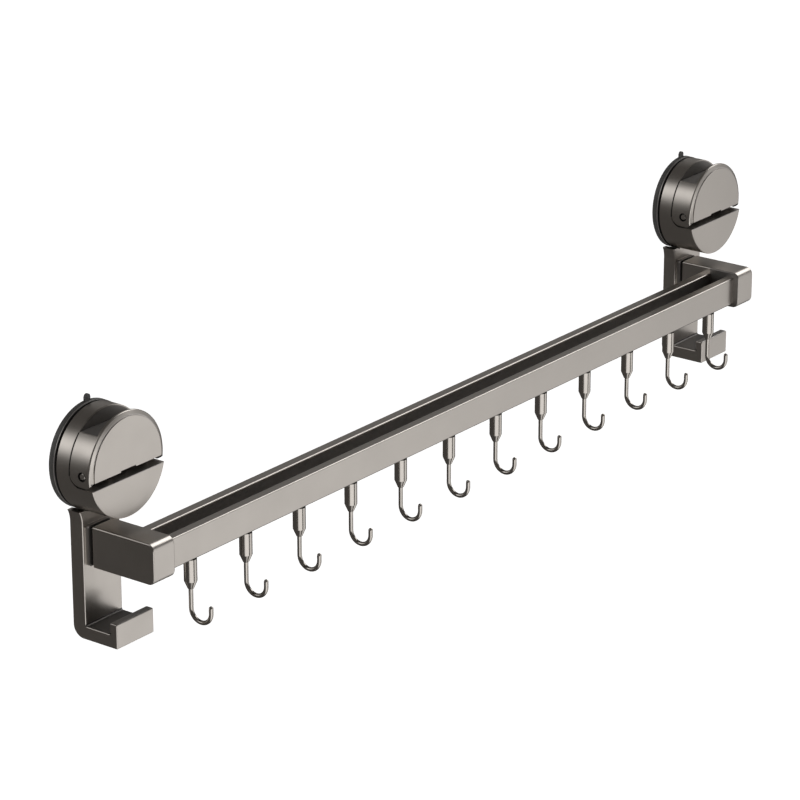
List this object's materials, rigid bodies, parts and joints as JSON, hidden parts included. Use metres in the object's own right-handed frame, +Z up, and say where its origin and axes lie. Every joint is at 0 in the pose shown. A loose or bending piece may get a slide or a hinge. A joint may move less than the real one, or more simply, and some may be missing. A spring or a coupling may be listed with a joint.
{
  "type": "kitchen utensil rail",
  "caption": "Wall rail for kitchen tools: U-shaped channel on two round lever-locked suction mounts with J-shaped feet, and J-hooks that slide below its front wall.",
  "frame": {"origin": "on the wall, midway between the axes of the two suction mounts and at their height", "axes": "+X along the rail to the right as seen from the room, -Y from the wall into the room, +Z up; the wall is the plane Y = 0"},
  "size_m": [0.6874, 0.0705, 0.1467],
  "materials": {
    "cup_rubber": "matt black rubber",
    "ring_plastic": "smooth grey plastic",
    "housing_metal": "satin gun-grey lacquer on a casting",
    "bracket_metal": "satin gun-grey lacquer on a casting",
    "rail_aluminium": "satin gun-grey anodised extrusion",
    "hook_steel": "gun-grey plated, bright",
    "slider_plastic": "black low-friction plastic",
    "pin_steel": "dark plated steel",
    "screw_steel": "bright steel"
  },
  "bodies": {
    "rail_and_mounts": {"rail": "rail_aluminium", "left_suction_cup": "cup_rubber", "left_backing_ring": "ring_plastic", "left_drum_housing": "housing_metal", "left_bracket": "bracket_metal", "left_neck_screw_a": "screw_steel", "left_neck_screw_b": "screw_steel", "left_arm": "bracket_metal", "left_arm_screw": "screw_steel", "right_suction_cup": "cup_rubber", "right_backing_ring": "ring_plastic", "right_drum_housing": "housing_metal", "right_bracket": "bracket_metal", "right_neck_screw_a": "screw_steel", "right_neck_screw_b": "screw_steel", "right_arm": "bracket_metal", "right_arm_screw": "screw_steel"},
    "left_stud": {"left_draw_stud": "pin_steel"},
    "left_lever": {"left_flip_lever": "housing_metal", "left_hinge_pin": "pin_steel"},
    "right_stud": {"right_draw_stud": "pin_steel"},
    "right_lever": {"right_flip_lever": "housing_metal", "right_hinge_pin": "pin_steel"},
    "hook_01": {"hook_01_slider": "slider_plastic", "hook_01_ferrule": "hook_steel", "hook_01_wire": "hook_steel"},
    "hook_02": {"hook_02_slider": "slider_plastic", "hook_02_ferrule": "hook_steel", "hook_02_wire": "hook_steel"},
    "hook_03": {"hook_03_slider": "slider_plastic", "hook_03_ferrule": "hook_steel", "hook_03_wire": "hook_steel"},
    "hook_04": {"hook_04_slider": "slider_plastic", "hook_04_ferrule": "hook_steel", "hook_04_wire": "hook_steel"},
    "hook_05": {"hook_05_slider": "slider_plastic", "hook_05_ferrule": "hook_steel", "hook_05_wire": "hook_steel"},
    "hook_06": {"hook_06_slider": "slider_plastic", "hook_06_ferrule": "hook_steel", "hook_06_wire": "hook_steel"},
    "hook_07": {"hook_07_slider": "slider_plastic", "hook_07_ferrule": "hook_steel", "hook_07_wire": "hook_steel"},
    "hook_08": {"hook_08_slider": "slider_plastic", "hook_08_ferrule": "hook_steel", "hook_08_wire": "hook_steel"},
    "hook_09": {"hook_09_slider": "slider_plastic", "hook_09_ferrule": "hook_steel", "hook_09_wire": "hook_steel"},
    "hook_10": {"hook_10_slider": "slider_plastic", "hook_10_ferrule": "hook_steel", "hook_10_wire": "hook_steel"},
    "hook_11": {"hook_11_slider": "slider_plastic", "hook_11_ferrule": "hook_steel", "hook_11_wire": "hook_steel"},
    "hook_12": {"hook_12_slider": "slider_plastic", "hook_12_ferrule": "hook_steel", "hook_12_wire": "hook_steel"}
  },
  "joints": [
    {"name": "left_stud_slide", "type": "slide", "parent": "rail_and_mounts", "child": "left_stud", "axis": [0, 1, 0], "range_m": [0, 0.001]},
    {"name": "left_lever_hinge", "type": "hinge", "parent": "left_stud", "child": "left_lever", "pos_m": [-0.3102, -0.0257, -0.001], "axis": [1, 0, 0], "range_deg": [0, 90]},
    {"name": "right_stud_slide", "type": "slide", "parent": "rail_and_mounts", "child": "right_stud", "axis": [0, 1, 0], "range_m": [0, 0.001]},
    {"name": "right_lever_hinge", "type": "hinge", "parent": "right_stud", "child": "right_lever", "pos_m": [0.3102, -0.0257, -0.001], "axis": [1, 0, 0], "range_deg": [0, 90]},
    {"name": "hook_01_slide", "type": "slide", "parent": "rail_and_mounts", "child": "hook_01", "axis": [1, 0, 0], "range_m": [-0.016, 0.016]},
    {"name": "hook_02_slide", "type": "slide", "parent": "rail_and_mounts", "child": "hook_02", "axis": [1, 0, 0], "range_m": [-0.016, 0.016]},
    {"name": "hook_03_slide", "type": "slide", "parent": "rail_and_mounts", "child": "hook_03", "axis": [1, 0, 0], "range_m": [-0.016, 0.016]},
    {"name": "hook_04_slide", "type": "slide", "parent": "rail_and_mounts", "child": "hook_04", "axis": [1, 0, 0], "range_m": [-0.016, 0.016]},
    {"name": "hook_05_slide", "type": "slide", "parent": "rail_and_mounts", "child": "hook_05", "axis": [1, 0, 0], "range_m": [-0.016, 0.016]},
    {"name": "hook_06_slide", "type": "slide", "parent": "rail_and_mounts", "child": "hook_06", "axis": [1, 0, 0], "range_m": [-0.016, 0.016]},
    {"name": "hook_07_slide", "type": "slide", "parent": "rail_and_mounts", "child": "hook_07", "axis": [1, 0, 0], "range_m": [-0.016, 0.016]},
    {"name": "hook_08_slide", "type": "slide", "parent": "rail_and_mounts", "child": "hook_08", "axis": [1, 0, 0], "range_m": [-0.016, 0.016]},
    {"name": "hook_09_slide", "type": "slide", "parent": "rail_and_mounts", "child": "hook_09", "axis": [1, 0, 0], "range_m": [-0.016, 0.016]},
    {"name": "hook_10_slide", "type": "slide", "parent": "rail_and_mounts", "child": "hook_10", "axis": [1, 0, 0], "range_m": [-0.016, 0.016]},
    {"name": "hook_11_slide", "type": "slide", "parent": "rail_and_mounts", "child": "hook_11", "axis": [1, 0, 0], "range_m": [-0.016, 0.016]},
    {"name": "hook_12_slide", "type": "slide", "parent": "rail_and_mounts", "child": "hook_12", "axis": [1, 0, 0], "range_m": [-0.016, 0.016]}
  ],
  "couplings": [
    {"joint": "left_lever_hinge", "follows": "left_stud_slide", "rad_per_m": 1570.8},
    {"joint": "right_lever_hinge", "follows": "right_stud_slide", "rad_per_m": 1570.8}
  ]
}
